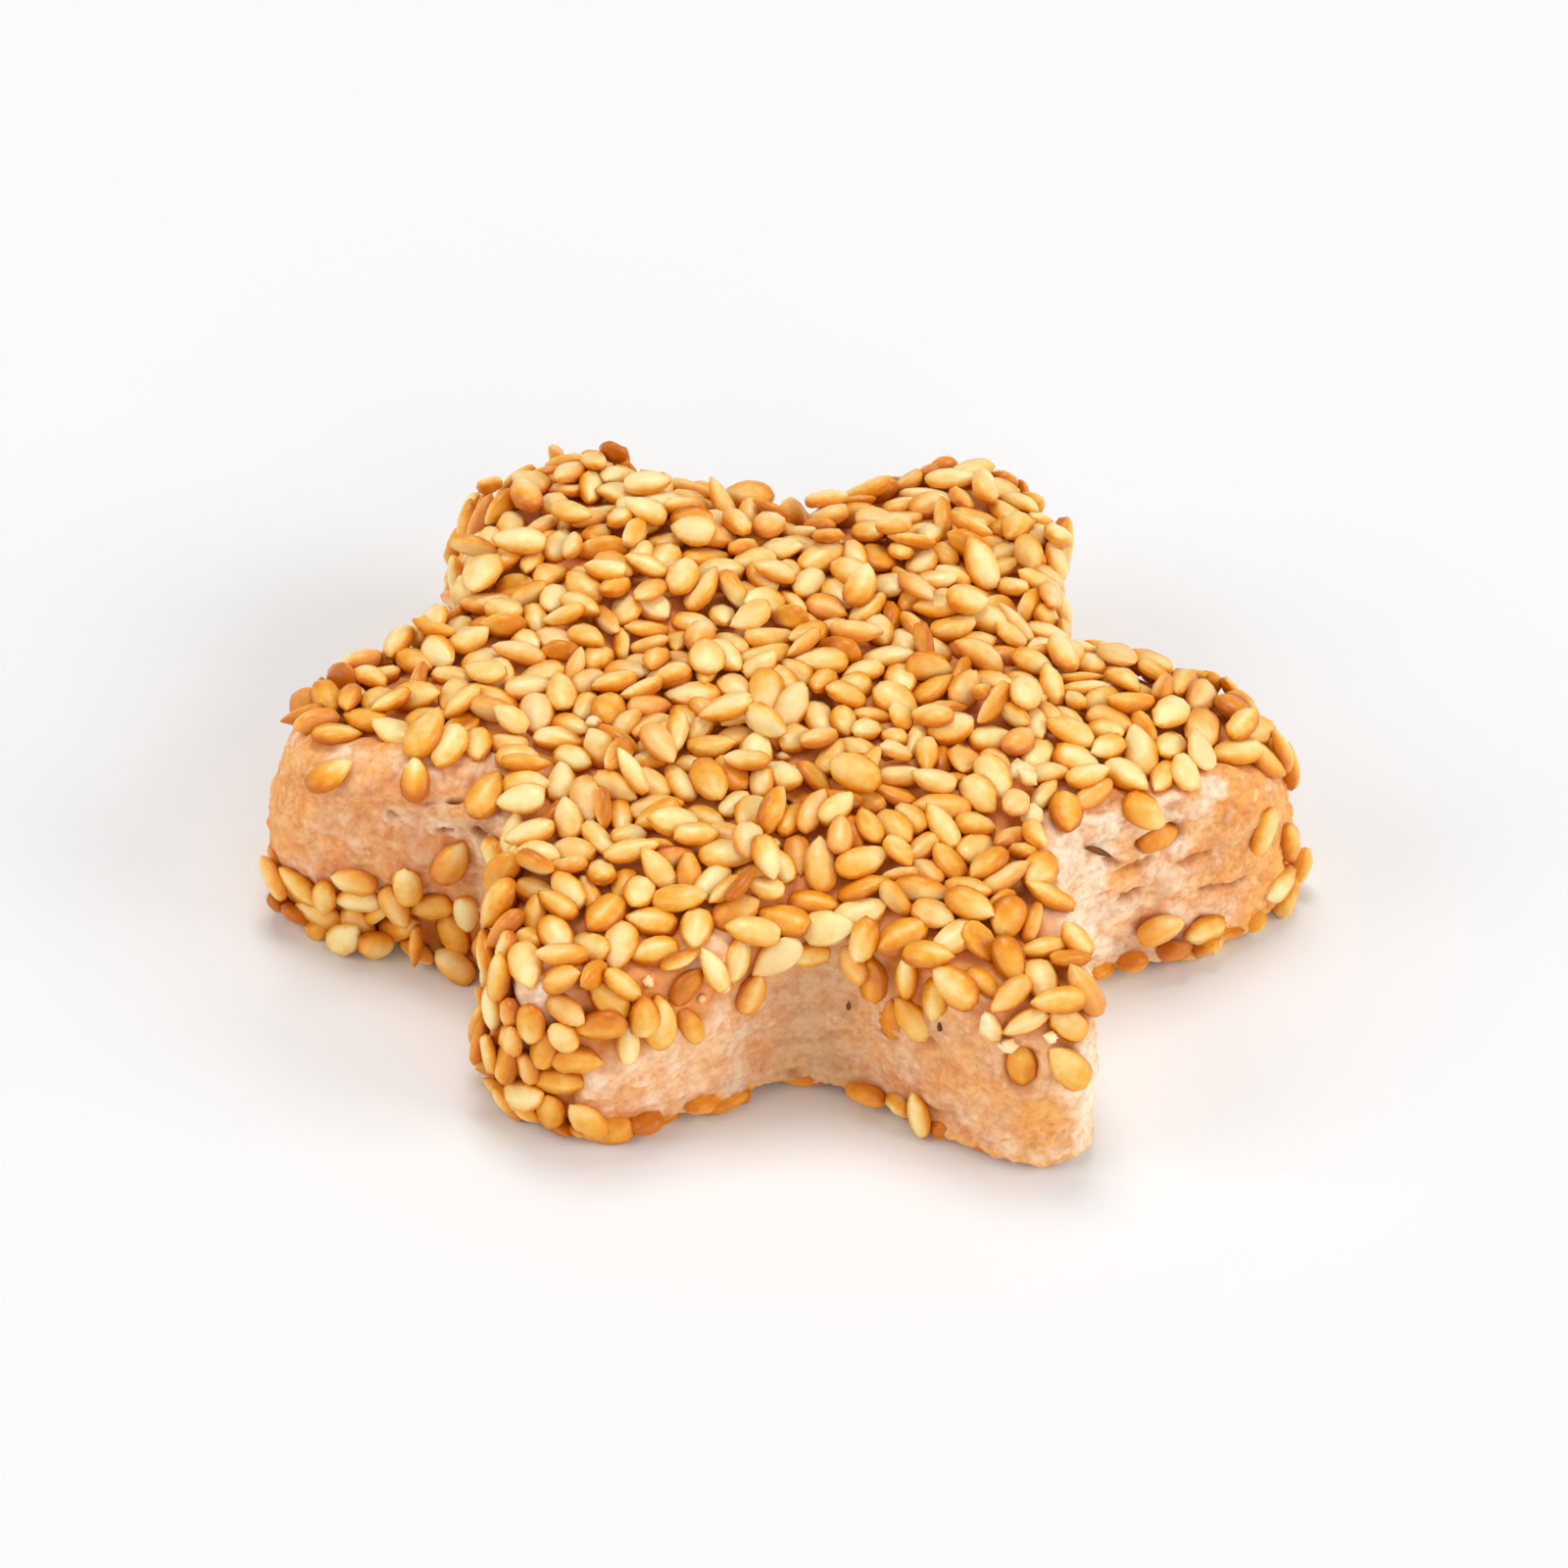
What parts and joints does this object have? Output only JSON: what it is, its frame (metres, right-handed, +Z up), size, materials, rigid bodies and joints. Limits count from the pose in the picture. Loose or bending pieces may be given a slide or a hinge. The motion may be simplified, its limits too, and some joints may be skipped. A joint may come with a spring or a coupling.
{
  "type": "savory cookie",
  "caption": "Star-shaped savory cookie with blunt points, a softly domed top and bare baked sides, coated in sesame seeds above and below.",
  "frame": {"origin": "middle of the flat base, under the middle of the cookie's box", "axes": "+Z up from the base to the crown, +X along the longest line from point to point"},
  "size_m": [0.063, 0.0558, 0.015],
  "materials": {
    "dough": "matte",
    "sesame": "satin",
    "dark_sesame": "satin"
  },
  "bodies": {
    "root": {"cookie": "dough"}
  },
  "joints": []
}
